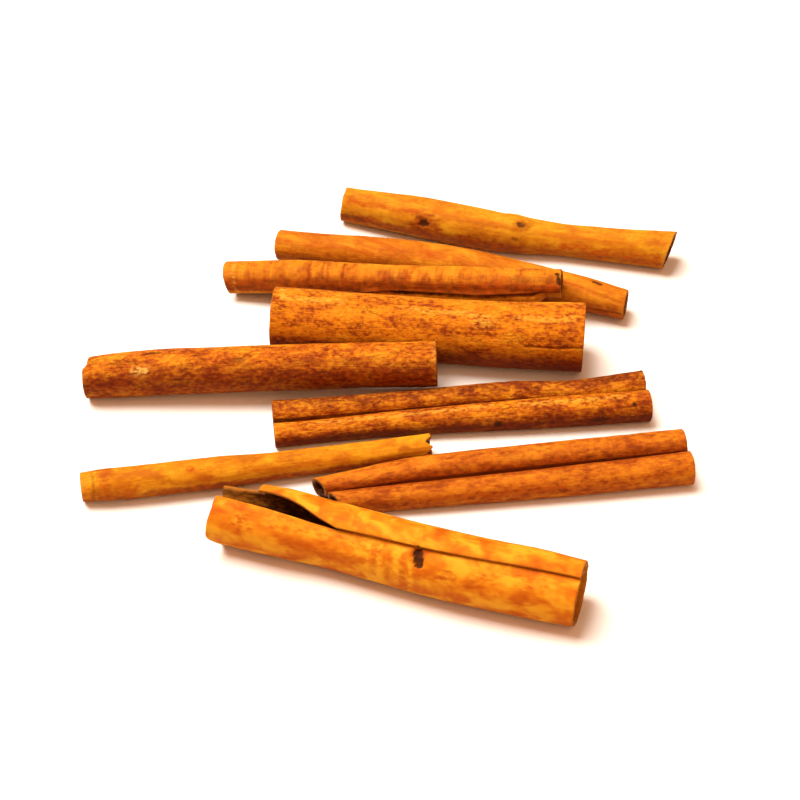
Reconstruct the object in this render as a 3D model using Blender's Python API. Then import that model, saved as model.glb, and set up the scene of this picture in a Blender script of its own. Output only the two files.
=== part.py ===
"""A loose pile of nine cinnamon sticks, lying on a flat surface as they were tipped out.

Each stick is one sheet of dried bark, about a millimetre thick, that has rolled up along its
length. Seven are single rolls and two are double rolls, whose two edges both roll in and meet in
a groove along the top. A cross-section is worked out from a stick's radius, the edge of its sheet
and how far that sheet goes round, and is extruded from station to station along the stick. Seven
sticks lie flat, and two have their right ends propped up on their neighbours.

The origin is on the surface under the middle of the pile. +X is right, +Z up and -Y the front.
"""

import math

import bmesh
import bpy
import numpy as np

# Driving dimensions, in millimetres and degrees.
MM = 0.001
BARK = 0.95             # thickness of the dried bark
AIR = 0.3               # air between one turn of a roll and the next
PITCH = BARK + AIR      # how much smaller the radius gets with each turn
TURN_STEP = 28.0        # angle between two points round a roll
FLAT = 0.15             # how deep the underside is worn flat where it lies on the surface
DIVE = 215.0            # how far round a double roll's edge goes before it dives into the groove
DIVE_SPAN = 145.0       # turn over which it dives by one pitch
TUCKED = 470.0          # how far round its edge goes in all
SQUEEZE = 0.35          # how much closer a double roll's halves sit than their radii would put them
MIDDLE = (-1.68, 0.9)   # middle of the pile, in the same measure as the sticks' ends
EVEN_STATIONS = 10      # equal stretches that each stick is divided into
NEAREST = 0.001         # least distance between two stations, as a share of a stick's length
CREASE = 40.0           # angle above which an edge of the bark looks sharp
DRYNESS = 0.7           # roughness of the dry, unpolished bark

ORANGE_BARK = (0.62, 0.25, 0.05)
RED_BARK = (0.42, 0.14, 0.035)

# An angle in a cross-section is 0 at the back, 90 at the top, 180 at the front and 270 below.
# A size that changes along a stick is a row of (place, value) pairs, from 0 at the left end to 1
# at the right end, and is smooth in between.
# "ends"    points on the surface under the left and the right end
# "radius"  outer radius of the roll, and of the back half of a double roll
# "sway"    how far the stick bends towards the back
# "lean"    how far the top of the left and of the right end reaches past its underside, to +X
# "skew"    how far the front of the left and of the right end reaches past its back, to +X
# "lift"    how far the right end is held off the surface by the sticks that it rests on
SINGLE_ROLLS = {
    # "lip"   angle of the sheet's outer edge
    # "edge"  angle of its inner edge, counted on from the lip the way that the sheet goes round
    "stick_back": {
        "ends": ((-13.9, 67.9), (65.8, 48.6)),
        "radius": ((0, 4.1), (0.3, 5.0), (0.54, 4.5), (0.67, 3.9), (0.8, 4.1), (1, 4.6)),
        "lip": ((0, 250),),
        "edge": ((0, -200),),
        "sway": ((0, 0), (0.35, -2.6), (0.54, -2.6), (0.67, -1.5), (1, 0)),
        "lean": (0.5, 1.5), "skew": (0, -1.5), "bark": ORANGE_BARK,
    },
    "stick_curved": {
        "ends": ((-29.5, 50.8), (53.2, 28.2)),
        "radius": ((0, 3.8), (0.45, 4.8), (0.85, 4.3), (1, 3.7)),
        "lip": ((0, 285),),
        "edge": ((0, 725),),
        "sway": ((0, 0), (0.5, 2.1), (0.85, 0.8), (1, 0)),
        "lean": (-1, 0), "skew": (0, 0), "bark": ORANGE_BARK,
    },
    "stick_thick": {
        "ends": ((-29.1, 19.5), (41.9, 12.5)),
        "radius": ((0, 7.4), (0.6, 7.3), (1, 7.8)),
        "lip": ((0, 262),),
        "edge": ((0, -260),),
        "sway": ((0, 0), (0.6, -0.2), (1, 0)),
        "lean": (0, 0), "skew": (0, 0), "bark": RED_BARK,
    },
    "stick_slim": {
        "ends": ((-68.0, -30.6), (6.8, -18.0)),
        "radius": ((0, 3.1), (0.08, 3.4), (0.4, 3.35), (0.55, 2.9), (1, 2.8)),
        "lip": ((0, 255),),
        "edge": ((0, -200),),
        "sway": ((0, 0), (0.15, -0.6), (0.4, -0.7), (0.6, -0.2), (1, 0)),
        "lean": (0, 0), "skew": (0, 0), "bark": ORANGE_BARK,
    },
    "stick_split": {
        "ends": ((-37.6, -41.1), (35.4, -63.8)),
        "radius": ((0, 6.8), (0.18, 7.2), (0.3, 6.9), (0.85, 7.0), (1, 6.7)),
        "lip": ((0, 5), (0.09, 5), (0.1, 76), (0.2, 90), (0.27, 100), (0.34, 113), (1, 101)),
        "edge": ((0, -262), (0.27, -258), (0.4, -272), (1, -305)),
        "sway": ((0, 0), (0.3, 0.2), (0.65, -0.8), (1, 0)),
        "lean": (1.5, 0), "skew": (0, 0), "bark": ORANGE_BARK,
    },
    "stick_leaning": {
        "ends": ((-40.4, 39.3), (38.4, 28.0)),
        "radius": ((0, 3.8), (0.2, 4.1), (0.5, 3.7), (1, 3.4)),
        "lip": ((0, 200), (0.5, 176), (1, 158)),
        "edge": ((0, -270),),
        "sway": ((0, 0), (1, 0)), "lift": 7.7,
        "lean": (-2, 0), "skew": (0, 0), "bark": ORANGE_BARK,
    },
    "stick_propped": {
        "ends": ((-70.6, 2.4), (8.6, 2.95)),
        "radius": ((0, 4.5), (0.06, 5.1), (0.5, 5.15), (1, 5.1)),
        "lip": ((0, 310),),
        "edge": ((0, -190),),
        "sway": ((0, 0), (0.2, 0.5), (0.6, 0.5), (1, 0)), "lift": 3.4,
        "lean": (0, 0), "skew": (0, 0), "bark": RED_BARK,
    },
}

DOUBLE_ROLLS = {
    # "front_radius" is the front half's, and "ends" lie under the groove
    "stick_double_rough": {
        "ends": ((-27.9, -11.9), (55.2, -2.3)),
        "radius": ((0, 3.5), (0.3, 3.2), (0.65, 3.4), (0.8, 3.1), (1, 3.6)),
        "front_radius": ((0, 2.75), (0.2, 2.65), (0.65, 3.4), (1, 3.6)),
        "sway": ((0, 0), (0.35, 0.7), (1, 0)),
        "lean": (0, 0), "skew": (0, 0), "bark": RED_BARK,
    },
    "stick_double_smooth": {
        "ends": ((-15.5, -32.7), (62.4, -21.9)),
        "radius": ((0, 2.6), (0.1, 3.0), (0.25, 3.6), (0.5, 3.8), (1, 3.75)),
        "front_radius": ((0, 2.6), (1, 3.65)),
        "sway": ((0, 0), (0.6, -0.3), (1, 0)),
        "lean": (0, 0), "skew": (3, 0), "bark": ORANGE_BARK,
    },
}


def between(row, along):
    """Read a value at a place along a row of (place, value) pairs, on a smooth curve."""
    if len(row) == 1:
        return row[0][1]
    index = max(i for i, (place, _) in enumerate(row[:-1]) if place <= along)
    (place_a, value_a), (place_b, value_b) = row[index:index + 2]
    before = row[max(index - 1, 0)]
    after = row[min(index + 2, len(row) - 1)]
    slope_a = (value_b - before[1]) / (place_b - before[0])
    slope_b = (after[1] - value_a) / (after[0] - place_a)
    span = place_b - place_a
    part = (along - place_a) / span
    ease = part * part * (3.0 - 2.0 * part)
    return (value_a + (value_b - value_a) * ease
            + slope_a * span * part * (1.0 - part) ** 2
            - slope_b * span * part ** 2 * (1.0 - part))


def straight_between(row, along):
    """Read a value at a place along a row of (place, value) pairs, on straight lines."""
    return float(np.interp(along, [place for place, _ in row], [value for _, value in row]))


def on_circle(radius, angle):
    """Return the (y, z) point of a circle about the origin."""
    return radius * math.cos(math.radians(angle)), radius * math.sin(math.radians(angle))


def closed_section(wall):
    """Close a sheet, given as (outer point, inner point) pairs, into one outline."""
    return [outer for outer, _ in wall] + [inner for _, inner in reversed(wall)]


def single_roll(stick, along):
    """Return the outline of a single roll about its own centre."""
    radius = between(stick["radius"], along)
    lip = straight_between(stick["lip"], along)
    edge = straight_between(stick["edge"], along)
    sense = math.copysign(1.0, edge - lip)
    steps = math.ceil(abs(stick["edge"][-1][1] - stick["lip"][-1][1]) / TURN_STEP)
    wall = []
    for step in range(steps + 1):
        angle = lip + (edge - lip) * step / steps
        turned = sense * (angle - stick["lip"][-1][1])
        layer = radius + PITCH * (0.5 - turned / 360.0)
        wall.append((on_circle(layer, angle), on_circle(layer - BARK, angle)))
    return closed_section(wall)


def half_roll(radius, sense):
    """Return one half of a double roll as wall pairs, from its underside into the groove."""
    steps = math.ceil(TUCKED / TURN_STEP)
    wall = []
    for step in range(steps + 1):
        turned = TUCKED * step / steps
        layer = radius - PITCH * max(0.0, turned - DIVE) / DIVE_SPAN
        angle = 270.0 + sense * turned
        pair = on_circle(layer, angle), on_circle(layer - BARK, angle)
        wall.append(tuple((y + sense * (radius - SQUEEZE), z + radius) for y, z in pair))
    return wall


def double_roll(stick, along):
    """Return the outline of two rolls side by side, joined underneath."""
    back_wall = half_roll(between(stick["radius"], along), 1)
    front_wall = half_roll(between(stick["front_radius"], along), -1)
    return closed_section(back_wall[::-1] + front_wall)


def stations(stick):
    """Return the places along a stick where a cross-section is needed, from 0 to 1."""
    even = {step / EVEN_STATIONS for step in range(EVEN_STATIONS + 1)}
    marked = {place for place, _ in stick.get("lip", ())}
    extra = {place for place in marked if min(abs(place - other) for other in even) > NEAREST}
    return sorted(even | extra)


def sweep(name, stick, section):
    """Make a stick along +X from x = 0, lying on z = 0."""
    (left_x, left_y), (right_x, right_y) = stick["ends"]
    length = math.hypot(right_x - left_x, right_y - left_y)

    def placed(outline, along):
        """Put an outline at its place: turned down to the surface, bent and cut on the slant."""
        low = min(z for _, z in outline) + FLAT
        high = max(z for _, z in outline) - low
        side = int(along > 0.5)
        reach = max(0.0, abs(2.0 * along - 1.0) * 2.0 - 1.0)
        points = []
        for y, z in outline:
            slant = stick["lean"][side] * ((z - low) / high - 0.5) - stick["skew"][side] * y / high
            points.append(((along * length + slant * reach) * MM,
                           (y + between(stick["sway"], along)) * MM,
                           max(0.0, z - low) * MM))
        return points

    shape = bmesh.new()
    place_in_outline = shape.verts.layers.int.new("place_in_outline")
    for place, point in enumerate(placed(section(stick, 0.0), 0.0)):
        shape.verts.new(point)[place_in_outline] = place
    face = shape.faces.new(shape.verts)
    for along in stations(stick)[1:]:
        points = placed(section(stick, along), along)
        grown = bmesh.ops.extrude_face_region(shape, geom=[face, *face.edges])
        face = next(item for item in grown["geom"] if isinstance(item, bmesh.types.BMFace))
        for corner in face.verts:
            corner.co = points[corner[place_in_outline]]
    bmesh.ops.recalc_face_normals(shape, faces=shape.faces)
    mesh = bpy.data.meshes.new(name)
    shape.to_mesh(mesh)
    shape.free()
    mesh.shade_smooth()
    mesh.set_sharp_from_angle(angle=math.radians(CREASE))
    mesh.materials.append(bark_material(name, stick["bark"]))
    piece = bpy.data.objects.new(name, mesh)
    bpy.context.collection.objects.link(piece)
    return piece


def bark_material(name, colour):
    """Make the dry, unpolished finish of a stick."""
    material = bpy.data.materials.new(name)
    material.use_nodes = True
    surface = material.node_tree.nodes["Principled BSDF"]
    surface.inputs["Base Color"].default_value = (*colour, 1.0)
    surface.inputs["Roughness"].default_value = DRYNESS
    surface.inputs["Metallic"].default_value = 0.0
    return material


def lay(piece, stick):
    """Turn a stick to run between its two ends, with a propped one's right end lifted."""
    (left_x, left_y), (right_x, right_y) = stick["ends"]
    run = math.hypot(right_x - left_x, right_y - left_y)
    pitch = math.atan2(stick.get("lift", 0.0), run)
    yaw = math.atan2(right_y - left_y, right_x - left_x)
    piece.location = ((left_x - MIDDLE[0]) * MM, (left_y - MIDDLE[1]) * MM, 0.0)
    piece.rotation_euler = (0.0, -pitch, yaw)


def build():
    """Clear the scene and make the whole pile."""
    for old in list(bpy.data.objects):
        bpy.data.objects.remove(old, do_unlink=True)
    for sticks, section in ((SINGLE_ROLLS, single_roll), (DOUBLE_ROLLS, double_roll)):
        for name, stick in sticks.items():
            lay(sweep(name, stick, section), stick)


build()
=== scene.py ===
import math

import bmesh
import bpy
import numpy as np
from mathutils import Matrix, Vector, noise


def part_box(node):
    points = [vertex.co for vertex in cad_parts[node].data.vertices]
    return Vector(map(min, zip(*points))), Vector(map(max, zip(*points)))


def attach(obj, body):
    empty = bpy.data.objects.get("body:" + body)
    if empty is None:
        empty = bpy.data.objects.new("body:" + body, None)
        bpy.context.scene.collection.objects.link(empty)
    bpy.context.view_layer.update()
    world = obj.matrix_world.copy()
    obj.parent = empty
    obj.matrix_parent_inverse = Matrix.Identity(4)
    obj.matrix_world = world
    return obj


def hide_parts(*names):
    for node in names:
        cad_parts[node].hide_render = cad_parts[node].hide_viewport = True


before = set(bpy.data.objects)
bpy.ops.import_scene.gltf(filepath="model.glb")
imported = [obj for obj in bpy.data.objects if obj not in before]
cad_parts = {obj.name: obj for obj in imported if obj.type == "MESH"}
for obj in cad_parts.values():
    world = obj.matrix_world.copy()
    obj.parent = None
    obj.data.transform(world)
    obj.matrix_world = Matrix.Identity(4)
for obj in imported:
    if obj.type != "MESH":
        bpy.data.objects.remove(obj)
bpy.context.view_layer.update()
print("frame loaded:", len(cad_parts), "sticks")

# Lengths are in millimetres and angles in degrees. Round a stick, 0 is the back, 90 the top,
# 180 the front and 270 the underside. A size that changes along a stick is a row of
# (place, value) pairs, from 0 at the left end to 1 at the right end.
mm = 0.001

bark = {
    "thick": 0.95,          # the dried sheet
    "pitch": 1.25,          # the sheet and the air between two of its turns
    "flat": 0.15,           # worn flat underneath
    "worn": 0.13,           # rounding of the cut edges
    "alongCell": 0.42,      # size of a mesh cell along a stick,
    "aroundCell": 0.3,      # round the part that shows
    "tuckedCell": 0.75,     # and round the part that is rolled in
    "dive": 215,            # where a double roll's edge starts to dive into the groove
    "diveSpan": 145,        # turn over which it dives by one pitch
    "tucked": 470,          # how far round it goes in all
    "squeeze": 0.35,        # how much closer the two halves sit
    "bottom": 20,           # half of the flat stretch that joins them, counted as turn
    "cutFade": 2.5,         # how far a notch in an end pulls the bark behind it
    "thinned": 0.35,        # how much thinner the bark is at its lips
}


def smoothRow(row, along):
    # a smooth curve through a row, the same one that the solids follow
    places = np.linspace(0, 1, 241)
    values = []
    for place in places:
        index = max([i for i, pair in enumerate(row[:-1]) if pair[0] <= place] or [0])
        if len(row) == 1:
            values.append(row[0][1])
            continue
        (placeA, valueA), (placeB, valueB) = row[index:index + 2]
        before, after = row[max(index - 1, 0)], row[min(index + 2, len(row) - 1)]
        slopeA = (valueB - before[1]) / (placeB - before[0])
        slopeB = (after[1] - valueA) / (after[0] - placeA)
        span = placeB - placeA
        part = (place - placeA) / span
        ease = part * part * (3 - 2 * part)
        values.append(valueA + (valueB - valueA) * ease
                      + slopeA * span * part * (1 - part) ** 2
                      - slopeB * span * part ** 2 * (1 - part))
    return np.interp(along, places, values)


def straightRow(row, along):
    return np.interp(along, [pair[0] for pair in row], [pair[1] for pair in row])


def field(seed, *coordinates):
    # smooth noise from -1 to 1 at each point, one unit to a bump
    points = np.stack(np.broadcast_arrays(*coordinates), 1) + seed
    return np.array([noise.noise(point) for point in points.tolist()])


def softStep(low, high, value):
    part = np.clip((value - low) / (high - low), 0, 1)
    return part * part * (3 - 2 * part)


def flatSheet(alongCells, aroundCells, notch=None):
    # a flat sheet: x along the stick, y from its outer lip to its tucked edge, z through the bark
    sheet = bmesh.new()
    bmesh.ops.create_grid(sheet, x_segments=alongCells, y_segments=aroundCells, size=0.5)
    bmesh.ops.translate(sheet, verts=sheet.verts, vec=(0.5, 0.5, 0))
    if notch:
        torn = [face for face in sheet.faces
                if face.calc_center_median().x < notch[0] and face.calc_center_median().y < notch[1]]
        bmesh.ops.delete(sheet, geom=torn, context="FACES")
    bmesh.ops.solidify(sheet, geom=sheet.faces[:], thickness=1)
    through = [edge for edge in sheet.edges if abs(edge.verts[0].co.z - edge.verts[1].co.z) > 0.5]
    bmesh.ops.subdivide_edges(sheet, edges=through, cuts=2, use_grid_fill=True)
    return sheet


def spread(stick):
    # how the mesh's columns are shared out: (turn, share of the columns) pairs
    around = math.radians(1) * stick["size"]
    if "frontRadius" in stick:
        seen = 270 + bark["bottom"]
        reach = bark["tucked"] + bark["bottom"]
        fine = 2 * seen * around / bark["aroundCell"]
        coarse = (reach - seen) * around / bark["tuckedCell"]
        turns = (-reach, -seen, seen, reach)
        counts = (0, coarse, coarse + fine, 2 * coarse + fine)
    else:
        reach = abs(stick["edge"][-1][1] - stick["lip"][-1][1])
        fine = 360 * around / bark["aroundCell"]
        coarse = (reach - 360) * around / bark["tuckedCell"]
        turns = (0, 360, reach)
        counts = (0, fine, fine + coarse)
    return turns, counts


def rollUp(stick, along, turn):
    # the outside of the rolled sheet: the centre that each point turns about, its radius and angle
    radius = smoothRow(stick["radius"], along)
    if "frontRadius" in stick:
        half = np.sign(turn)
        radius = np.where(half < 0, radius, smoothRow(stick["frontRadius"], along))
        turned = np.maximum(np.abs(turn) - bark["bottom"], 0)
        middle = -half * (radius - bark["squeeze"]) * np.minimum(np.abs(turn) / bark["bottom"], 1)
        layer = radius - bark["pitch"] * np.maximum(turned - bark["dive"], 0) / bark["diveSpan"]
        return middle, radius, layer, 270 - half * turned
    lip, edge = straightRow(stick["lip"], along), straightRow(stick["edge"], along)
    sense = np.sign(edge - lip)
    angle = lip + sense * turn * np.abs(edge - lip) / abs(stick["edge"][-1][1] - stick["lip"][-1][1])
    fromLip = sense * (angle - stick["lip"][-1][1])
    layer = radius + bark["pitch"] * (0.5 - fromLip / 360)
    return np.zeros_like(radius), np.zeros_like(radius), layer, angle


def endCut(stick, side, angle):
    # how far an end is cut back at each angle, in millimetres
    depth = np.zeros_like(angle)
    for cut in stick.get("cuts", ()):
        if cut["end"] == side:
            away = np.abs((angle - cut["angle"] + 180) % 360 - 180) / cut["width"]
            shape = np.clip(1 - away, 0, 1) if cut.get("sharp") else 1 - softStep(0.6, 1, away)
            depth += cut["depth"] * shape
    return depth


def lipEdge(stick, along, across, turn, notch):
    # the cut edges along the stick are rounded by drawing their corners in, counted as turn
    worn = math.degrees(bark["worn"] / stick["size"])
    shift = np.where(across < 0.0001, worn, 0) - np.where(across > 0.9999, worn, 0)
    if notch:
        shift += np.where((np.abs(across - notch[1]) < 0.0001) & (along < notch[0] + 0.0001), worn, 0)
    return turn + shift


def layOut(mesh, along, across, depth, notch):
    # unwraps the bark as the flat sheet that it was: outside above, inside below, cut edges in strips
    corners = np.empty(len(mesh.loops), int)
    mesh.loops.foreach_get("vertex_index", corners)
    a, b, c = (values[corners].reshape(-1, 4) for values in (along, across, depth))
    outside, inside = c.max(1) < 0.01, c.min(1) > 0.99
    endFace = np.ptp(a, axis=1) < 0.0001
    low = np.where(endFace, a.mean(1) < 0.02, b.mean(1) < 0.02)
    high = np.where(endFace, a.mean(1) > 0.98, b.mean(1) > 0.98)
    strip = np.where(low, 0, np.where(high, 1, 2))[:, None] * 0.014 + 0.001
    u, v = 0.06 + 0.93 * a, 0.06 + 0.45 * b
    v = np.where(outside[:, None], 0.53 + 0.45 * b, v)
    rim = ~(outside | inside)
    u = np.where((rim & endFace)[:, None], strip + 0.01 * c, u)
    v = np.where((rim & endFace)[:, None], 0.06 + 0.92 * b, v)
    v = np.where((rim & ~endFace)[:, None], strip + 0.01 * c, v)
    layer = mesh.uv_layers.new(name="OFBake")
    layer.data.foreach_set("uv", np.stack((u.ravel(), v.ravel()), 1).ravel())


def makeStick(stick):
    node, seed = stick["node"], np.array(stick["seed"], float)
    stick["size"] = np.mean([pair[1] for pair in stick["radius"]])
    turns, counts = spread(stick)
    aroundCells = round(counts[-1])
    alongCells = round(stick["length"] / bark["alongCell"])
    notch = stick.get("notch")
    if notch:
        torn = notch[1] * turns[-1] / abs(stick["edge"][0][1] - stick["lip"][0][1])
        column = np.interp(torn, turns, counts) / counts[-1] * aroundCells
        notch = (round(notch[0] / bark["alongCell"]) / alongCells, round(column) / aroundCells)
    sheet = flatSheet(alongCells, aroundCells, notch)
    mesh = bpy.data.meshes.new(node + "_bark")
    sheet.to_mesh(mesh)
    sheet.free()
    flat = np.empty(len(mesh.vertices) * 3)
    mesh.vertices.foreach_get("co", flat)
    along, across, depth = flat.reshape(-1, 3).T
    depth = -depth
    layOut(mesh, along, across, depth, notch)
    rim = (depth > 0.01) & (depth < 0.99)
    depth = np.where(rim, np.where(depth < 0.5, 0.17, 0.83), np.round(depth))
    turn = np.interp(across * counts[-1], counts, turns)
    turn = np.where(rim, turn, lipEdge(stick, along, across, turn, notch))
    middle, height, layer, angle = rollUp(stick, along, turn)
    station = np.round(along * alongCells).astype(int)
    lowest = np.full(alongCells + 1, np.inf)
    np.minimum.at(lowest, station, height + layer * np.sin(np.radians(angle)))
    height = height - lowest[station] - bark["flat"]
    distance = along * stick["length"]
    around = np.radians(angle if "frontRadius" not in stick else turn) * stick["size"]
    rolled = np.abs(turn) + 70 if "frontRadius" in stick else np.abs(angle - straightRow(stick["lip"], along))
    shown = (depth < 0.5) & (rolled < 361)

    # ragged ends, with the cut edges rounded
    edgeNoise = field(seed + 7, np.radians(angle) * 3, depth * 2, along * 3)
    ragged = stick["ragged"] * edgeNoise
    leftCut = endCut(stick, "left", angle) + np.maximum(ragged, 0)
    rightCut = endCut(stick, "right", angle) + np.maximum(ragged, 0)
    distance += leftCut * np.exp(-distance / bark["cutFade"])
    distance -= rightCut * np.exp((distance - stick["length"]) / bark["cutFade"])
    distance += np.where(~rim & (along < 0.0001), bark["worn"], 0)
    distance -= np.where(~rim & (along > 0.9999), bark["worn"], 0)
    if notch:
        distance += np.where(~rim & (np.abs(along - notch[0]) < 0.0001) & (across < notch[1]), bark["worn"], 0)

    # relief of the bark, most of it on the outside
    outer = 1 - depth
    cosine, sine = np.cos(np.radians(angle)), np.sin(np.radians(angle))
    uneven = field(seed, distance / 16, cosine * 1.3, sine * 1.3) * stick["uneven"]
    fibre = field(seed + 3, distance / 5, around / 0.8, depth) * stick["fibre"]
    lumps = field(seed + 5, distance / 2.6, around / 1.7, depth) * stick["lumps"]
    furrow = np.abs(field(seed + 9, distance / 6, around / 1.3, depth))
    furrows = -softStep(0.12, 0, furrow) * stick["furrows"]
    push = uneven + (fibre + lumps + furrows) * outer + fibre * 0.5 * depth
    tones = {name: np.zeros_like(along) for name in ("dark", "blush", "pale")}
    # the brown row darkens the bark by its angle round the stick, most on the lower front and underside: painted shade;
    # frontBrown does the same for the front roll
    tones["brown"] = straightRow(stick["brown"], angle % 360)
    if "frontBrown" in stick:
        tones["brown"] = np.where(turn > 0, straightRow(stick["frontBrown"], angle % 360), tones["brown"])
    for mark in stick["marks"]:
        side = ~shown if "inside" in mark else shown
        side = side if "half" not in mark else side & (turn * mark["half"] > 0)
        addMark(mark, stick, distance, angle, around, seed, push, side, tones)

    # towards its lips the bark thins and is pressed down
    nearLip = np.minimum(across, 1 - across) * counts[-1] * bark["aroundCell"]
    radial = layer + push - bark["thick"] * depth
    radial -= bark["thinned"] * np.exp(-nearLip / 1.2) * outer + stick.get("press", 0.25) * np.exp(-nearLip / 3)
    y = middle + radial * cosine
    z = height + radial * sine
    reach = np.clip(np.abs(2 * along - 1) * 2 - 1, 0, 1)
    lean = np.where(along < 0.5, stick["lean"][0], stick["lean"][1])
    skew = np.where(along < 0.5, stick["skew"][0], stick["skew"][1])
    tall = 2 * (height + bark["flat"])
    x = distance + reach * (lean * (z / tall - 0.5) - skew * y / tall)
    y = y + smoothRow(stick["sway"], along)
    z = np.maximum(z, 0)
    places = np.stack((x, y, z), 1)
    mesh.vertices.foreach_set("co", places.ravel())

    # turn it into its place in the frame
    pitch = math.atan2(stick.get("lift", 0), stick["length"])
    turnIn = Matrix.Rotation(math.radians(stick["turn"]), 4, "Z") @ Matrix.Rotation(-pitch, 4, "Y")
    mesh.transform(Matrix.Scale(mm, 4) @ turnIn)
    own = np.empty(len(mesh.vertices) * 3)
    mesh.vertices.foreach_get("co", own)
    own = own.reshape(-1, 3)
    low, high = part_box(node)
    shift = (np.array(low) + np.array(high) - own.min(0) - own.max(0)) / 2
    mesh.transform(Matrix.Translation((shift[0], shift[1], 0)))

    # what the finish reads: millimetres along and round the stick, and what is where
    grain = mesh.attributes.new("grain", "FLOAT_VECTOR", "POINT")
    grain.data.foreach_set("vector", np.stack((distance, around, depth * 4), 1).ravel())
    tones["inner"] = np.round(depth)
    tones["cut"] = rim.astype(float)
    for name, values in tones.items():
        tone = mesh.attributes.new(name, "FLOAT", "POINT")
        tone.data.foreach_set("value", np.clip(values, 0, 1).astype(np.float32))

    shape = bmesh.new()
    shape.from_mesh(mesh)
    bmesh.ops.recalc_face_normals(shape, faces=shape.faces)
    shape.to_mesh(mesh)
    shape.free()
    mesh.shade_smooth()
    piece = bpy.data.objects.new(node + "_bark", mesh)
    bpy.context.collection.objects.link(piece)
    mesh.materials.append(barkFinish(stick))
    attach(piece, "root")
    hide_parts(node)
    print(node, "rolled up:", len(mesh.polygons), "faces")
    return piece


def turnedBy(angle, start):
    return (angle - start + 180) % 360 - 180


def addMark(mark, stick, distance, angle, around, seed, push, side, tones):
    # a knot, ring, crack, stain, painted shade or painted highlight on the bark's outside or inside, in patches or
    # along a path
    scale = math.radians(stick["size"])
    if "path" in mark:
        away = np.full_like(distance, np.inf)
        for (alongA, angleA), (alongB, angleB) in zip(mark["path"], mark["path"][1:]):
            stepAlong, stepAround = alongB - alongA, turnedBy(angleB, angleA) * scale
            ahead, aside = distance - alongA, turnedBy(angle, angleA) * scale
            part = (ahead * stepAlong + aside * stepAround) / (stepAlong ** 2 + stepAround ** 2)
            part = np.clip(part, 0, 1)
            away = np.minimum(away, np.hypot(ahead - part * stepAlong, aside - part * stepAround))
        away = away / mark["width"]
    else:
        ahead = (distance - mark["along"]) / mark["size"][0]
        aside = turnedBy(angle, mark["angle"]) * scale / mark["size"][1]
        away = np.hypot(ahead, aside)
    near = side & (away < 3)
    if not near.any():
        return
    broken = field(seed + 11, distance[near] / 1.1, around[near] / 0.6, 0) * mark.get("broken", 0.5)
    inside = np.zeros_like(distance)
    inside[near] = 1 - softStep(0.5, 1.2, away[near] + broken)
    push -= inside * mark.get("depth", 0)
    if "tone" in mark:
        tones[mark["tone"]] += inside * mark.get("strength", 1)


def addNode(tree, kind, sockets=None, **settings):
    node = tree.nodes.new("ShaderNode" + kind)
    for name, value in settings.items():
        setattr(node, name, value)
    for name, value in (sockets or {}).items():
        if isinstance(value, bpy.types.NodeSocket):
            tree.links.new(value, node.inputs[name])
        else:
            node.inputs[name].default_value = value
    return node


def calculate(tree, operation, *values):
    return addNode(tree, "Math", dict(enumerate(values)), operation=operation).outputs[0]


def grainNoise(tree, grain, size, seed, detail=3, warp=0.0):
    # noise that follows the bark: size is the length of a patch along, round and through it
    laid = addNode(tree, "Mapping", {"Vector": grain, "Location": seed, "Scale": [1 / part for part in size]})
    return addNode(tree, "TexNoise", {"Vector": laid.outputs[0], "Scale": 1.0, "Detail": detail,
                                      "Roughness": 0.55, "Distortion": warp}).outputs[0]


def stepUp(tree, value, low, high, top=1.0):
    return addNode(tree, "MapRange", {"Value": value, "From Min": low, "From Max": high, "To Max": top},
                   interpolation_type="SMOOTHSTEP").outputs[0]


def tint(tree, part, under, over):
    over = over if isinstance(over, bpy.types.NodeSocket) else (*over, 1)
    return addNode(tree, "Mix", {0: part, 6: under, 7: over}, data_type="RGBA").outputs[2]


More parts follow.
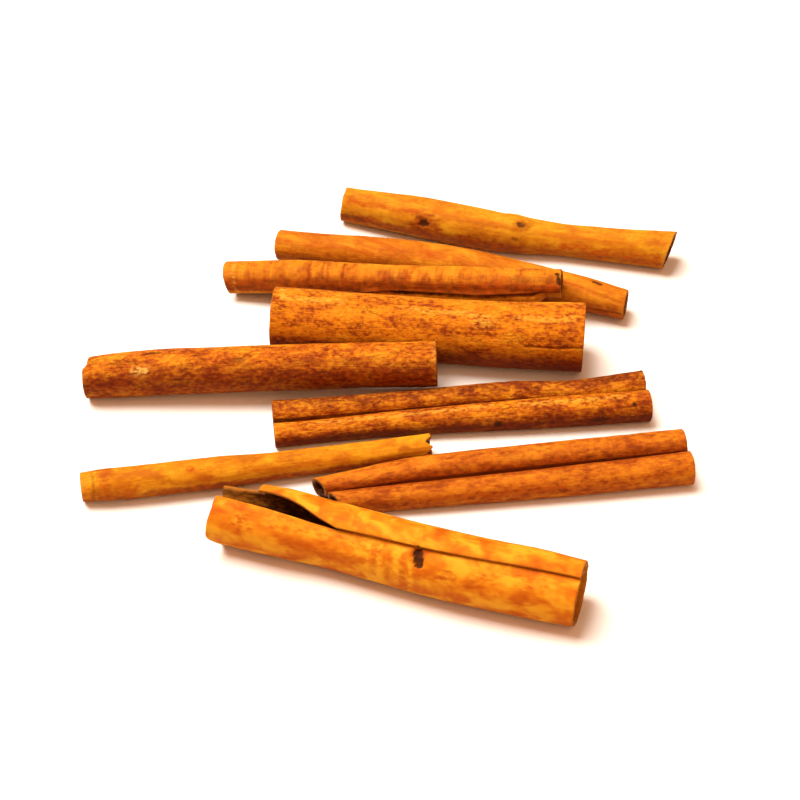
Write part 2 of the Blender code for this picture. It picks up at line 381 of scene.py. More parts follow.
def barkFinish(stick):
    look, seed = stick["look"], stick["seed"]
    material = bpy.data.materials.new(stick["node"] + "_finish")
    material.use_nodes = True
    tree = material.node_tree
    surface = tree.nodes["Principled BSDF"]
    grain = addNode(tree, "Attribute", attribute_name="grain").outputs["Vector"]
    mark = {name: addNode(tree, "Attribute", attribute_name=name).outputs["Fac"]
            for name in ("dark", "blush", "pale", "brown", "inner", "cut")}

    # soft blotches, fine mottles and lengthwise fibres shift the colour from deep to light
    blotch = grainNoise(tree, grain, look["blotchSize"], seed, 2, 0.4)
    mottle = grainNoise(tree, grain, look["mottleSize"], seed, 5)
    fibre = grainNoise(tree, grain, look["fibreSize"], seed, 3)
    bands = grainNoise(tree, grain, look["bandSize"], seed, 3)
    parts = (look["blotch"], look["mottle"], look["fibre"], look["bands"])
    shade = calculate(tree, "MULTIPLY_ADD", blotch, parts[0], 0.5 - 0.5 * sum(parts))
    for part, pattern in zip(parts[1:], (mottle, fibre, bands)):
        shade = calculate(tree, "MULTIPLY_ADD", pattern, part, shade)
    ramp = addNode(tree, "ValToRGB", {0: shade})
    stops = ramp.color_ramp.elements
    stops[0].position, stops[0].color = 0.2, (*look["deep"], 1)
    stops[1].position, stops[1].color = 0.8, (*look["light"], 1)
    stops.new(0.5).color = (*look["mid"], 1)
    colour = ramp.outputs[0]

    # short dark fissures and specks
    wander = grainNoise(tree, grain, look["fissureSize"], seed, 4)
    ridge = calculate(tree, "ABSOLUTE", calculate(tree, "SUBTRACT", wander, 0.5))
    fissure = stepUp(tree, ridge, 0.04, 0.0)
    patch = grainNoise(tree, grain, (5, 2.5, 9), (seed[2], seed[0], seed[1]), 3)
    fissure = calculate(tree, "MULTIPLY", fissure, stepUp(tree, patch, 0.45, 0.62, look["fissures"]))
    laid = addNode(tree, "Mapping", {"Vector": grain, "Location": seed, "Scale": [1 / part for part in look["speckSize"]]})
    cell = addNode(tree, "TexVoronoi", {"Vector": laid.outputs[0], "Scale": 1.0}).outputs["Distance"]
    speck = calculate(tree, "MULTIPLY", stepUp(tree, cell, 0.38, 0.12), stepUp(tree, patch, 0.6, 0.42, look["specks"]))
    # the dark tone: knots, cracks and specks, and the painted shade in grooves and hollows laid down as dark marks
    stainAndShade = calculate(tree, "MULTIPLY_ADD", calculate(tree, "SUBTRACT", mottle, 0.5), 1.3, mark["dark"])
    stainAndShade = calculate(tree, "MULTIPLY_ADD", calculate(tree, "SUBTRACT", bands, 0.5), look["smear"], stainAndShade)
    stainAndShade = calculate(tree, "MULTIPLY", stepUp(tree, stainAndShade, 0.1, 1.1), stepUp(tree, mark["dark"], 0.0, 0.5))
    # the brown tone carries the painted shade of the brown rows on the lower sides as well as brown halos and bands,
    # broken up by the colour noise
    brownAndShade = calculate(tree, "MULTIPLY_ADD", calculate(tree, "SUBTRACT", 0.5, shade), look["broken"], mark["brown"])
    brownAndShade = calculate(tree, "MULTIPLY", stepUp(tree, brownAndShade, 0.0, 1.05, 0.94), stepUp(tree, mark["brown"], 0.0, 0.3))
    brown = addNode(tree, "ValToRGB", {0: mottle})
    stops = brown.color_ramp.elements
    stops[0].position, stops[0].color = 0.33, (*(part * 0.6 for part in look["brown"]), 1)
    stops[1].position, stops[1].color = 0.67, (*(part * 1.35 for part in look["brown"]), 1)
    colour = tint(tree, brownAndShade, colour, brown.outputs[0])
    colour = tint(tree, calculate(tree, "MAXIMUM", fissure, speck), colour, look["fissure"])
    flush = calculate(tree, "MULTIPLY", mark["blush"], stepUp(tree, mottle, 0.3, 0.65))
    colour = tint(tree, flush, colour, look["blush"])
    # pale marks: pale spots and rings, and pale bands along some tops that are painted highlights
    paleAndHighlight = calculate(tree, "MULTIPLY", mark["pale"], stepUp(tree, mottle, 0.35, 0.6))
    colour = tint(tree, paleAndHighlight, colour, look["pale"])

    # the inside is browner and finer, and the cut edges show the layers
    lining = addNode(tree, "ValToRGB", {0: grainNoise(tree, grain, (6, 0.35, 2), seed, 4)})
    stops = lining.color_ramp.elements
    stops[0].position, stops[0].color = 0.3, (*look["inside"], 1)
    stops[1].position, stops[1].color = 0.7, (*(part * 1.7 for part in look["inside"]), 1)
    colour = tint(tree, mark["inner"], colour, lining.outputs[0])
    layers = addNode(tree, "ValToRGB", {0: grainNoise(tree, grain, (1.2, 1.6, 0.5), seed, 4)})
    stops = layers.color_ramp.elements
    stops[0].position, stops[0].color = 0.35, (*(part * 0.6 for part in look["edge"]), 1)
    stops[1].position, stops[1].color = 0.6, (*look["edge"], 1)
    colour = tint(tree, mark["cut"], colour, layers.outputs[0])
    colour = tint(tree, stainAndShade, colour, look["dark"])
    tree.links.new(colour, surface.inputs["Base Color"])

    gloss = calculate(tree, "MULTIPLY_ADD", mottle, 0.35, look["dull"] - 0.17)
    tree.links.new(gloss, surface.inputs["Roughness"])
    surface.inputs["Specular IOR Level"].default_value = 0.07
    grit = grainNoise(tree, grain, (0.5, 0.28, 2), seed, 3)
    height = calculate(tree, "MULTIPLY_ADD", fibre, look["fibreRelief"], calculate(tree, "MULTIPLY", grit, look["grit"]))
    height = calculate(tree, "MULTIPLY_ADD", mottle, look["mottleRelief"], height)
    height = calculate(tree, "SUBTRACT", height, calculate(tree, "MULTIPLY", fissure, 0.6))
    height = calculate(tree, "SUBTRACT", height, calculate(tree, "MULTIPLY", stainAndShade, 0.4))
    bump = addNode(tree, "Bump", {"Height": height, "Strength": 1.0, "Distance": look["relief"] * mm})
    tree.links.new(bump.outputs[0], surface.inputs["Normal"])
    return material


# brown is the colour of brown halos and bands and of the painted underside shade
smoothBark = {
    "deep": (0.28, 0.066, 0.001), "mid": (0.392, 0.122, 0.003), "light": (0.462, 0.189, 0.006),
    "blush": (0.308, 0.059, 0.001), "pale": (0.546, 0.294, 0.035), "dark": (0.035, 0.008, 0.001),
    "fissure": (0.168, 0.035, 0.001), "inside": (0.091, 0.029, 0.003), "edge": (0.294, 0.098, 0.008),
    "brown": (0.21, 0.035, 0.001), "broken": 0.5,
    "blotchSize": (8, 3.2, 9), "mottleSize": (1.6, 0.9, 4), "fibreSize": (9, 0.3, 4), "bandSize": (0.6, 5, 9),
    "blotch": 1.5, "mottle": 0.8, "fibre": 0.4, "bands": 0.2, "smear": 0,
    "fissureSize": (3, 0.9, 4), "fissures": 0.35, "speckSize": (1.3, 0.6, 4), "specks": 0.2,
    "dull": 0.72, "relief": 0.14, "fibreRelief": 0.5, "mottleRelief": 0.8, "grit": 0.3,
}
roughBark = {
    **smoothBark,
    "deep": (0.182, 0.028, 0.001), "mid": (0.385, 0.101, 0.002), "light": (0.476, 0.182, 0.006),
    "blotchSize": (7, 3, 9), "mottleSize": (1.2, 0.75, 4), "fibreSize": (4, 0.25, 4),
    "blotch": 1.2, "mottle": 1.35, "fibre": 0.5, "bands": 0.15,
    "brown": (0.14, 0.018, 0.001), "fissure": (0.119, 0.021, 0.001), "fissureSize": (1.8, 0.6, 4), "fissures": 0.6,
    "speckSize": (1.1, 0.6, 4), "specks": 0.5, "relief": 0.22,
}
stickBack = {
    "node": "stick_back", "slot": "smooth_bark", "seed": (3.1, 8.4, 1.7),
    "length": 82.0, "turn": -13.61, "ragged": 0.3, "uneven": 0.25, "fibre": 0.03, "lumps": 0.06, "furrows": 0.0,
    "radius": ((0, 4.1), (0.3, 5.0), (0.54, 4.5), (0.67, 3.9), (0.8, 4.1), (1, 4.6)),
    "lip": ((0, 250),), "edge": ((0, -200),),
    "sway": ((0, 0), (0.35, -2.6), (0.54, -2.6), (0.67, -1.5), (1, 0)),
    "lean": (0.5, 1.5), "skew": (0, -1.5),
    # the brown row darkens the lower front and underside: painted shade
    "brown": ((0, 0), (150, 0), (172, 0.22), (190, 0.55), (250, 0.5), (290, 0)),
    "marks": [
        {"along": 22.0, "angle": 157, "size": (1.6, 1.0), "depth": 0.3, "tone": "dark"},
        {"along": 22.3, "angle": 160, "size": (4.2, 2.6), "tone": "brown", "strength": 0.8},
        {"along": 45.7, "angle": 113, "size": (1.3, 0.8), "depth": 0.2, "tone": "dark", "strength": 0.8},
        {"along": 45.9, "angle": 114, "size": (2.6, 1.6), "tone": "brown", "strength": 0.6},
        {"path": [(33, 176), (40, 170), (46, 166)], "width": 2.4, "tone": "brown", "strength": 0.35},
        {"along": 44.2, "angle": 95, "size": (4.2, 3.0), "depth": -0.45, "broken": 0.1},
        {"along": 44.8, "angle": 160, "size": (1.1, 0.7), "depth": 0.12, "tone": "dark", "strength": 0.6},
        # painted shade: a brown band along the underside
        {"path": [(24, 192), (33, 200), (45, 205)], "width": 2.2, "tone": "brown", "strength": 0.4},
        {"path": [(2, 128), (6, 136), (10, 130), (15, 137), (20, 128)], "width": 0.6, "tone": "blush"},
        {"path": [(24, 118), (31, 126), (38, 121), (46, 132), (56, 128), (66, 139), (74, 136)], "width": 0.7,
         "tone": "blush", "strength": 0.6},
        {"path": [(52, 178), (60, 168), (66, 176), (73, 170), (80, 176)], "width": 1.5, "tone": "blush"},
        # painted shade: a brown band along the lower front
        {"path": [(1, 190), (8, 182), (14, 192), (21, 185)], "width": 1.3, "tone": "brown", "strength": 0.4},
        {"path": [(1, 186), (3, 180), (6, 190)], "width": 0.8, "tone": "dark", "strength": 0.5},
        # painted shade: a faint brown band along the lower front
        {"path": [(46, 190), (58, 196), (70, 190), (80, 196)], "width": 1.3, "tone": "brown", "strength": 0.2},
        # darkens the inside of the roll near the right end: painted shade in the hollow
        {"inside": True, "along": 80, "angle": 200, "size": (5, 12), "tone": "dark", "strength": 1.0},
    ],
    "look": {**smoothBark, "deep": (0.294, 0.077, 0.002), "mid": (0.406, 0.154, 0.004), "light": (0.469, 0.231, 0.008),
             "blotch": 1.1, "mottle": 0.6, "relief": 0.08},
}
stickCurved = {
    "node": "stick_curved", "slot": "smooth_bark", "seed": (13.1, 2.4, 5.7),
    "length": 85.72, "turn": -15.29, "ragged": 0.2, "uneven": 0.2, "fibre": 0.03, "lumps": 0.04, "furrows": 0.0,
    "radius": ((0, 3.8), (0.45, 4.8), (0.85, 4.3), (1, 3.7)),
    "lip": ((0, 285),), "edge": ((0, 725),),
    "sway": ((0, 0), (0.5, 2.1), (0.85, 0.8), (1, 0)),
    "lean": (-1, 0), "skew": (0, 0),
    # the brown row darkens the lower front and underside: painted shade
    "brown": ((0, 0), (140, 0), (168, 0.35), (190, 0.8), (250, 0.7), (290, 0)),
    "marks": [
        {"along": 78.3, "angle": 79, "size": (1.7, 0.7), "depth": 0.2, "tone": "dark", "strength": 0.9},
        {"path": [(19, 58), (25, 78), (30.7, 106), (36, 146)], "width": 0.6, "depth": -0.07, "broken": 0.3},
        {"path": [(18, 66), (24, 86), (29.4, 114), (34, 150)], "width": 0.7, "tone": "blush", "strength": 0.9},
        {"along": 38, "angle": 116, "size": (3.4, 1.2), "tone": "blush"},
        {"path": [(3, 120), (10, 128), (17, 121), (24, 135)], "width": 0.7, "tone": "blush", "strength": 0.8},
        {"path": [(44, 120), (52, 128), (60, 122), (70, 126)], "width": 0.8, "tone": "blush", "strength": 0.5},
        {"path": [(77, 186), (81, 182), (85, 179)], "width": 0.3, "depth": 0.25, "broken": 0.3,
         "tone": "dark", "strength": 0.5},
        {"path": [(70, 108), (75, 116), (80, 128), (85, 135)], "width": 0.5, "depth": 0.12, "tone": "blush"},
    ],
    "look": {**smoothBark, "mid": (0.364, 0.108, 0.003), "light": (0.434, 0.164, 0.006)},
}
stickThick = {
    "node": "stick_thick", "slot": "rough_bark", "seed": (23.1, 12.4, 9.7),
    "length": 71.34, "turn": -5.63, "ragged": 0.12, "uneven": 0.2, "fibre": 0.05, "lumps": 0.05, "furrows": 0.06,
    "radius": ((0, 7.4), (0.6, 7.3), (1, 7.8)),
    "lip": ((0, 262),), "edge": ((0, -260),),
    "sway": ((0, 0), (0.6, -0.2), (1, 0)),
    "lean": (0, 0), "skew": (0, 0),
    # the brown row darkens the lower front and underside: painted shade
    "brown": ((0, 0), (152, 0), (176, 0.55), (200, 1.2), (260, 1.0), (300, 0)),
    "marks": [
        {"path": [(58.2, 160), (64, 161), (71.4, 158)], "width": 0.22, "depth": 0.3, "broken": 0.3, "tone": "dark",
         "strength": 0.7},
        {"along": 48.2, "angle": 118, "size": (3.2, 1.9), "tone": "pale", "strength": 0.5},
        {"along": 21.4, "angle": 117, "size": (0.7, 0.6), "depth": 0.12, "tone": "dark", "strength": 0.6},
        {"along": 21.3, "angle": 135, "size": (0.5, 1.3), "depth": 0.12, "tone": "dark", "strength": 0.5},
        {"along": 1.9, "angle": 76, "size": (0.7, 0.6), "tone": "pale"},
        {"along": 17.7, "angle": 86, "size": (2.2, 1.2), "tone": "dark", "strength": 0.35},
        # these three pale bands along the top paint a highlight
        {"path": [(2, 96), (9, 101), (16, 98)], "width": 0.9, "tone": "pale", "strength": 0.45},
        {"path": [(30, 102), (38, 108), (46, 103)], "width": 0.8, "tone": "pale", "strength": 0.4},
        {"path": [(56, 110), (63, 114), (69, 109)], "width": 0.8, "tone": "pale", "strength": 0.4},
    ],
    "look": {**roughBark, "mid": (0.44, 0.127, 0.002), "mottle": 1.2},
}
stickSlim = {
    "node": "stick_slim", "slot": "smooth_bark", "seed": (33.1, 22.4, 2.7),
    "length": 75.86, "turn": 9.56, "ragged": 0.15, "uneven": 0.15, "fibre": 0.03, "lumps": 0.04, "furrows": 0.0,
    "radius": ((0, 3.1), (0.08, 3.4), (0.4, 3.35), (0.55, 2.9), (1, 2.8)),
    "lip": ((0, 255),), "edge": ((0, -200),),
    "sway": ((0, 0), (0.15, -0.6), (0.4, -0.7), (0.6, -0.2), (1, 0)),
    "lean": (0, 0), "skew": (0, 0),
    "cuts": [
        {"end": "right", "angle": 112, "width": 26, "depth": 1.5, "sharp": True},
        {"end": "right", "angle": 168, "width": 26, "depth": 1.5, "sharp": True},
    ],
    # the brown row darkens the lower front and underside: painted shade
    "brown": ((0, 0), (165, 0), (190, 0.6), (205, 0.8), (250, 0.6), (290, 0)),
    "marks": [
        {"path": [(2.4, 60), (2.8, 130), (2.4, 200)], "width": 0.5, "depth": 0.08, "tone": "dark", "strength": 0.45},
        {"along": 5.2, "angle": 84, "size": (2.6, 2.2), "tone": "brown", "strength": 0.75},
        {"path": [(5.5, 90), (5.0, 130), (5.5, 170)], "width": 1.1, "tone": "blush", "strength": 0.8},
        {"along": 10.2, "angle": 165, "size": (2.6, 1.5), "tone": "blush"},
        {"path": [(2.5, 221), (8.5, 223)], "width": 0.6, "depth": 0.15, "tone": "dark"},
        {"along": 23.3, "angle": 119, "size": (1.3, 0.8), "tone": "blush"},
        {"along": 26.2, "angle": 153, "size": (2.2, 0.8), "tone": "blush", "strength": 0.9},
        {"path": [(34, 142), (44, 150), (56, 146)], "width": 0.8, "tone": "blush", "strength": 0.7},
        # painted shade: a brown band along the lower front
        {"path": [(14, 186), (30, 192), (52, 186), (70, 190)], "width": 0.9, "tone": "brown", "strength": 0.4},
    ],
    "look": {**smoothBark, "deep": (0.315, 0.091, 0.002), "mid": (0.434, 0.158, 0.003), "light": (0.504, 0.231, 0.008)},
}
stickSplit = {
    "node": "stick_split", "slot": "smooth_bark", "seed": (43.1, 2.4, 7.7),
    "length": 76.45, "turn": -17.27, "ragged": 0.3, "uneven": 0.25, "fibre": 0.03, "lumps": 0.06, "furrows": 0.0,
    "radius": ((0, 6.8), (0.18, 7.2), (0.3, 6.9), (0.85, 7.0), (1, 6.7)),
    "lip": ((0, 70), (0.14, 72), (0.187, 80), (0.235, 90), (0.285, 103), (0.34, 114), (1, 101)),
    "edge": ((0, -264), (0.07, -258), (0.13, -254), (0.19, -250), (0.34, -246), (0.44, -262), (1, -305)),
    "notch": (7.3, 66),
    "sway": ((0, 0), (0.3, 0.2), (0.65, -0.8), (1, 0)),
    "lean": (1.5, 0), "skew": (0, 0),
    "cuts": [
        {"end": "left", "angle": 140, "width": 80, "depth": -1.3},
        {"end": "left", "angle": 226, "width": 24, "depth": 1.1},
        {"end": "left", "angle": 8, "width": 45, "depth": -2.3},
    ],
    # the brown row darkens the lower front and underside: painted shade
    "brown": ((0, 0), (175, 0), (205, 0.25), (250, 0.4), (290, 0)),
    "marks": [
        {"path": [(43.6, 117), (43.9, 127), (44.3, 139)], "width": 1.1, "depth": 0.7, "broken": 0.15, "tone": "dark",
         "strength": 1.8},
        {"along": 44.0, "angle": 129, "size": (2.1, 2.4), "tone": "brown", "strength": 0.45},
        {"path": [(33.4, 128), (33.8, 176)], "width": 0.45, "tone": "pale", "strength": 0.65},
        {"path": [(34.8, 134), (35.2, 182)], "width": 0.7, "tone": "blush", "strength": 0.55},
        {"path": [(36.0, 126), (36.5, 186)], "width": 0.5, "tone": "pale", "strength": 0.85},
        {"path": [(37.8, 132), (38.3, 188)], "width": 0.8, "tone": "blush", "strength": 0.65},
        {"path": [(39.5, 122), (40.0, 190)], "width": 0.5, "tone": "pale", "strength": 1.0},
        {"path": [(41.1, 130), (41.6, 190)], "width": 0.8, "tone": "blush", "strength": 0.8},
        {"path": [(42.6, 132), (43.1, 188)], "width": 0.45, "tone": "pale", "strength": 0.85},
        {"path": [(44.2, 148), (44.6, 184)], "width": 0.8, "tone": "blush", "strength": 0.7},
        {"along": 49.6, "angle": 148, "size": (2.8, 1.6), "tone": "blush"},
        {"along": 55.9, "angle": 155, "size": (2.6, 1.4), "tone": "blush"},
        {"along": 66.2, "angle": 164, "size": (3.0, 1.4), "tone": "blush", "strength": 0.9},
        {"along": 6.2, "angle": 142, "size": (2.6, 2.4), "tone": "blush"},
        {"along": 3.4, "angle": 108, "size": (2.4, 1.6), "tone": "blush", "strength": 0.8},
        {"path": [(16, 160), (24, 168), (32, 162)], "width": 1.6, "tone": "blush", "strength": 0.8},
        {"path": [(54, 128), (60, 133), (70, 130)], "width": 1.5, "tone": "pale", "strength": 0.5},
        {"path": [(12, 130), (18, 134), (24, 130)], "width": 1.8, "tone": "pale", "strength": 0.5},
        {"path": [(27, 126), (31, 130), (35, 128)], "width": 1.5, "tone": "pale", "strength": 0.5},
        # these two darken the inside of the roll behind the open flap and at the left end: painted shade in the hollow
        {"inside": True, "along": 26, "angle": 330, "size": (20, 16), "broken": 0, "tone": "dark", "strength": 0.9},
        {"inside": True, "along": 6, "angle": 350, "size": (14, 12), "broken": 0.2, "tone": "dark", "strength": 0.62},
    ],
    "look": {**smoothBark, "deep": (0.35, 0.07, 0.001), "mid": (0.434, 0.133, 0.003), "light": (0.525, 0.238, 0.01),
             "pale": (0.546, 0.259, 0.013), "blotchSize": (5, 3.6, 9), "blotch": 1.75, "mottle": 0.25, "fibre": 0.15,
             "bands": 0.15,
             "bandSize": (1.2, 5, 9), "fissures": 0.06, "specks": 0.0, "relief": 0.05,
             "inside": (0.28, 0.105, 0.007)},
}
stickLeaning = {
    "node": "stick_leaning", "slot": "smooth_bark", "seed": (53.1, 32.4, 4.7),
    "length": 79.61, "turn": -8.16, "lift": 7.7, "ragged": 0.2, "uneven": 0.15, "fibre": 0.03, "lumps": 0.04,
    "furrows": 0.0,
    "radius": ((0, 3.8), (0.2, 4.1), (0.5, 3.7), (1, 3.4)),
    "lip": ((0, 200), (0.3, 186), (0.5, 172), (0.76, 180), (1, 168)), "edge": ((0, -270),), "press": -0.1,
    "sway": ((0, 0), (1, 0)),
    "lean": (-2, 0), "skew": (0, 0),
    # the brown row darkens the front above the seam and the underside: painted shade
    "brown": ((0, 0), (105, 0), (140, 0.62), (160, 1.3), (178, 0.9), (186, 0), (215, 0), (260, 0.4), (290, 0)),
    "marks": [
        {"path": [(2.4, 60), (2.6, 130), (2.4, 205)], "width": 0.45, "tone": "pale", "strength": 0.5},
        {"path": [(20.3, 60), (20.1, 110), (20.5, 180)], "width": 0.4, "depth": 0.14, "tone": "brown", "strength": 0.8},
        {"path": [(21.6, 70), (21.8, 150)], "width": 0.3, "depth": -0.08},
        {"path": [(28.4, 80), (28.4, 175)], "width": 0.5, "depth": 0.05, "tone": "brown", "strength": 0.8},
        {"path": [(39.4, 116), (39.8, 150), (40.2, 178)], "width": 1.4, "tone": "brown", "strength": 0.5},
        {"path": [(42.6, 114), (43.0, 150), (43.4, 178)], "width": 1.8, "tone": "brown", "strength": 0.4},
        {"path": [(41.0, 148), (42.5, 172)], "width": 1.5, "tone": "dark", "strength": 0.4},
        {"path": [(33.5, 150), (33.7, 178)], "width": 0.5, "tone": "brown", "strength": 0.8},
        # painted shade: faint brown bands along the lower front
        {"path": [(2, 176), (20, 172), (38, 168)], "width": 1.6, "tone": "brown", "strength": 0.2},
        {"path": [(42, 166), (58, 170), (78, 160)], "width": 1.6, "tone": "brown", "strength": 0.2},
        {"path": [(68, 120), (72, 126), (77, 126)], "width": 1.0, "tone": "dark", "strength": 0.4},
        {"path": [(40, 178), (60, 188), (79, 176)], "width": 0.5, "broken": 0.1, "tone": "dark", "strength": 0.7},
        {"path": [(34, 224), (50, 226), (72, 224)], "width": 3.4, "depth": -1.9, "broken": 0},
        {"along": 66.0, "angle": 128, "size": (2.2, 1.6), "tone": "blush", "strength": 0.9},
        {"path": [(78.7, 100), (79.2, 138)], "width": 0.6, "depth": 0.25, "broken": 0.3, "tone": "dark"},
    ],
    "look": {**smoothBark, "deep": (0.231, 0.049, 0.001), "light": (0.462, 0.175, 0.006), "blotchSize": (3.2, 5, 9),
             "blotch": 1.3, "bands": 0.55, "bandSize": (0.5, 4, 9), "fibre": 0.2, "mottle": 0.6, "smear": 0.8},
}
stickPropped = {
    "node": "stick_propped", "slot": "rough_bark", "seed": (63.1, 12.4, 6.7),
    "length": 79.2, "turn": 0.4, "lift": 3.4, "ragged": 0.12, "uneven": 0.2, "fibre": 0.05, "lumps": 0.05,
    "furrows": 0.06,
    "radius": ((0, 4.65), (0.08, 4.9), (0.25, 5.15), (0.5, 5.15), (1, 5.1)),
    "lip": ((0, 310),), "edge": ((0, -190),),
    "sway": ((0, 0), (0.2, 0.5), (0.6, 0.5), (1, 0)),
    "lean": (0, 0), "skew": (0, 0),
    "cuts": [{"end": "left", "angle": 65, "width": 55, "depth": 0.9}],
    # the brown row darkens the front and underside: painted shade
    "brown": ((0, 0), (110, 0), (138, 0.55), (165, 0.7), (185, 0.75), (210, 0.55), (250, 0.6), (300, 0)),
    "marks": [
        {"along": 11.7, "angle": 135, "size": (0.6, 0.45), "depth": -0.05, "tone": "pale", "strength": 0.85},
        {"along": 12.8, "angle": 139, "size": (0.7, 0.4), "depth": -0.05, "tone": "pale", "strength": 0.85},
        {"along": 13.1, "angle": 131, "size": (0.8, 0.4), "depth": -0.05, "tone": "pale", "strength": 0.85},
        {"along": 14.2, "angle": 136, "size": (0.6, 0.5), "depth": -0.05, "tone": "pale", "strength": 0.85},
        {"along": 12.9, "angle": 136, "size": (2.4, 1.5), "tone": "pale", "strength": 0.4},
        {"path": [(78.7, 50), (78.6, 130), (78.7, 200)], "width": 0.4, "tone": "pale", "strength": 0.25},
        # painted shade: faint brown bands along the front
        {"path": [(3, 150), (8, 162), (16, 152), (22, 166)], "width": 2.0, "tone": "brown", "strength": 0.15},
        {"path": [(24, 158), (40, 166), (60, 162), (77, 166)], "width": 1.8, "tone": "brown", "strength": 0.15},
        {"path": [(13.5, 84), (15.1, 82), (17.5, 80)], "width": 0.3, "depth": 0.2, "tone": "dark"},
        {"along": 35.4, "angle": 118, "size": (2.4, 1.0), "tone": "dark", "strength": 0.5},
        {"path": [(4, 112), (9, 108), (16, 116)], "width": 0.6, "tone": "dark", "strength": 0.4},
        {"path": [(46, 126), (56, 130), (66, 124)], "width": 0.9, "tone": "dark", "strength": 0.35},
    ],
    "look": {**roughBark, "mid": (0.364, 0.091, 0.002), "pale": (0.504, 0.322, 0.063)},
}
stickDoubleRough = {
    "node": "stick_double_rough", "slot": "rough_bark", "seed": (73.1, 42.4, 8.7),
    "length": 83.65, "turn": 6.59, "ragged": 0.15, "uneven": 0.12, "fibre": 0.05, "lumps": 0.05, "furrows": 0.05,
    "radius": ((0, 3.5), (0.3, 3.2), (0.65, 3.4), (0.8, 3.1), (1, 3.6)),
    "frontRadius": ((0, 2.75), (0.2, 2.65), (0.65, 3.4), (1, 3.6)),
    "sway": ((0, 0), (0.35, 0.7), (1, 0)),
    "lean": (0, 0), "skew": (0, 0),
    # the brown and frontBrown rows darken each roll by its angle round it: painted shade
    "brown": ((0, 0.75), (60, 0.7), (100, 0.5), (140, 0.2), (220, 0.6), (290, 0)),
    "frontBrown": ((0, 0), (115, 0), (145, 0.38), (168, 0.7), (185, 1.5), (260, 1.2), (300, 0)),
    "marks": [
        # a dark line along the groove between the two rolls: painted shade in the crease
        {"half": -1, "path": [(0, 157), (30, 159), (60, 156), (84, 158)], "width": 0.55, "broken": 0.25, "tone": "dark",
         "strength": 0.75},
        {"half": 1, "along": 49.2, "angle": 174, "size": (1.3, 0.9), "depth": 0.15, "tone": "dark"},
        {"half": 1, "along": 79.7, "angle": 130, "size": (0.8, 0.6), "tone": "dark"},
        {"half": 1, "along": 71.9, "angle": 181, "size": (2.6, 1.0), "tone": "dark", "strength": 0.7},
        # painted shade: a dark band along the lower front
        {"half": 1, "path": [(6, 176), (24, 182), (44, 178)], "width": 1.2, "tone": "dark", "strength": 0.4},
        # pale bands along the top of the front roll: painted highlight
        {"half": 1, "path": [(8, 92), (26, 96), (48, 92)], "width": 0.7, "tone": "pale", "strength": 0.4},
        {"half": 1, "path": [(54, 94), (64, 98), (78, 92)], "width": 0.7, "tone": "pale", "strength": 0.4},
    ],
    "look": {**roughBark, "deep": (0.168, 0.025, 0.001), "mid": (0.343, 0.085, 0.002), "brown": (0.098, 0.013, 0.001)},
}
stickDoubleSmooth = {
    "node": "stick_double_smooth", "slot": "smooth_bark", "seed": (83.1, 52.4, 3.7),
    "length": 78.65, "turn": 7.9, "ragged": 0.12, "uneven": 0.1, "fibre": 0.04, "lumps": 0.05, "furrows": 0.0,
    "radius": ((0, 2.6), (0.1, 3.0), (0.25, 3.6), (0.5, 3.8), (1, 3.75)),
    "frontRadius": ((0, 2.6), (1, 3.65)),
    "sway": ((0, 0), (0.6, -0.3), (1, 0)),
    "lean": (0, 0), "skew": (3, 0),
    # the brown and frontBrown rows darken each roll by its angle round it, the front roll most where it meets the back
    # one: painted shade
    "brown": ((0, 0), (100, 0), (136, 0.8), (160, 1.0), (220, 0.8), (290, 0)),
    "frontBrown": ((0, 1.2), (60, 1.0), (84, 0.25), (125, 0), (160, 0.5), (180, 0.45), (250, 0.4), (290, 0)),
    "marks": [
        # darkens the inside at the left end: painted shade in the hollow
        {"inside": True, "along": 0, "angle": 90, "size": (11, 90), "broken": 0, "tone": "dark", "strength": 2.0},
        # a dark line along the groove between the two rolls: painted shade in the crease
        {"half": -1, "path": [(4, 158), (30, 160), (60, 157), (79, 159)], "width": 0.5, "broken": 0.25, "tone": "dark",
         "strength": 0.7},
        {"half": -1, "along": 40.8, "angle": 107, "size": (2.2, 0.8), "tone": "dark", "strength": 0.35},
        {"half": 1, "path": [(20, 150), (34, 158), (50, 150)], "width": 0.8, "tone": "blush", "strength": 0.7},
    ],
    "look": {**smoothBark, "deep": (0.21, 0.038, 0.001), "mid": (0.343, 0.087, 0.003), "light": (0.406, 0.133, 0.005),
             "mottle": 1.3, "fissures": 0.5, "specks": 0.35},
}
for stick in (stickBack, stickCurved, stickLeaning, stickThick, stickPropped, stickDoubleRough, stickSlim,
              stickDoubleSmooth, stickSplit):
    makeStick(stick)

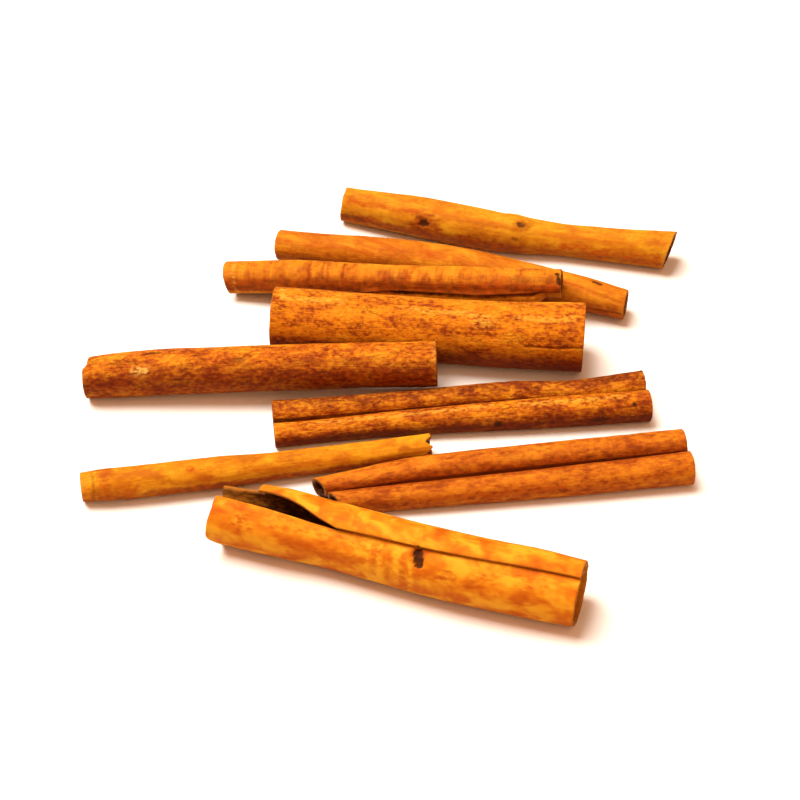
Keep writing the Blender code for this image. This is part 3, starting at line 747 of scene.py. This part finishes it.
table = {"size": 4.0, "colour": (0.7, 0.69, 0.672)}
ground = bmesh.new()
bmesh.ops.create_grid(ground, x_segments=1, y_segments=1, size=table["size"] / 2)
groundMesh = bpy.data.meshes.new("table")
ground.to_mesh(groundMesh)
ground.free()
tableTop = bpy.data.objects.new("table", groundMesh)
bpy.context.collection.objects.link(tableTop)
tableFinish = bpy.data.materials.new("table_finish")
tableFinish.use_nodes = True
tableFinish.node_tree.nodes["Principled BSDF"].inputs["Base Color"].default_value = (*table["colour"], 1)
tableFinish.node_tree.nodes["Principled BSDF"].inputs["Roughness"].default_value = 0.9
groundMesh.materials.append(tableFinish)

lights = {
    "key": {"from": (-60, 66), "distance": 2.4, "size": 1.6, "power": 148, "colour": (1, 0.95, 0.88)},
    "fill": {"from": (165, 48), "distance": 2.4, "size": 2.4, "power": 36, "colour": (1, 0.53, 0.3)},
    "sky": (1.0, 0.5, 0.26), "skyStrength": 0.48,
}


def addLight(name, light):
    # a soft square light, "from" its turn off the back towards the right and its height
    lamp = bpy.data.lights.new(name, "AREA")
    lamp.energy, lamp.size, lamp.color = light["power"], light["size"], light["colour"]
    turn, rise = (math.radians(angle) for angle in light["from"])
    place = Vector((math.sin(turn) * math.cos(rise), math.cos(turn) * math.cos(rise), math.sin(rise)))
    holder = bpy.data.objects.new(name, lamp)
    holder.location = place * light["distance"]
    holder.rotation_euler = place.to_track_quat("Z", "Y").to_euler()
    bpy.context.collection.objects.link(holder)


for name in ("key", "fill"):
    addLight(name, lights[name])
world = bpy.data.worlds.new("studio")
world.use_nodes = True
world.node_tree.nodes["Background"].inputs["Color"].default_value = (*lights["sky"], 1)
world.node_tree.nodes["Background"].inputs["Strength"].default_value = lights["skyStrength"]
bpy.context.scene.world = world

view = {"aim": (1.68, -0.9, 0), "height": 43, "distance": 430, "lens": 85.5}
lens = bpy.data.cameras.new("camera")
lens.lens, lens.sensor_width = view["lens"], 36
camera = bpy.data.objects.new("camera", lens)
rise = math.radians(view["height"])
camera.location = (Vector(view["aim"]) + Vector((0, -math.cos(rise), math.sin(rise))) * view["distance"]) * mm
camera.rotation_euler = (math.radians(90) - rise, 0, 0)
bpy.context.collection.objects.link(camera)
bpy.context.scene.camera = camera
bpy.context.scene.view_settings.view_transform = "Standard"
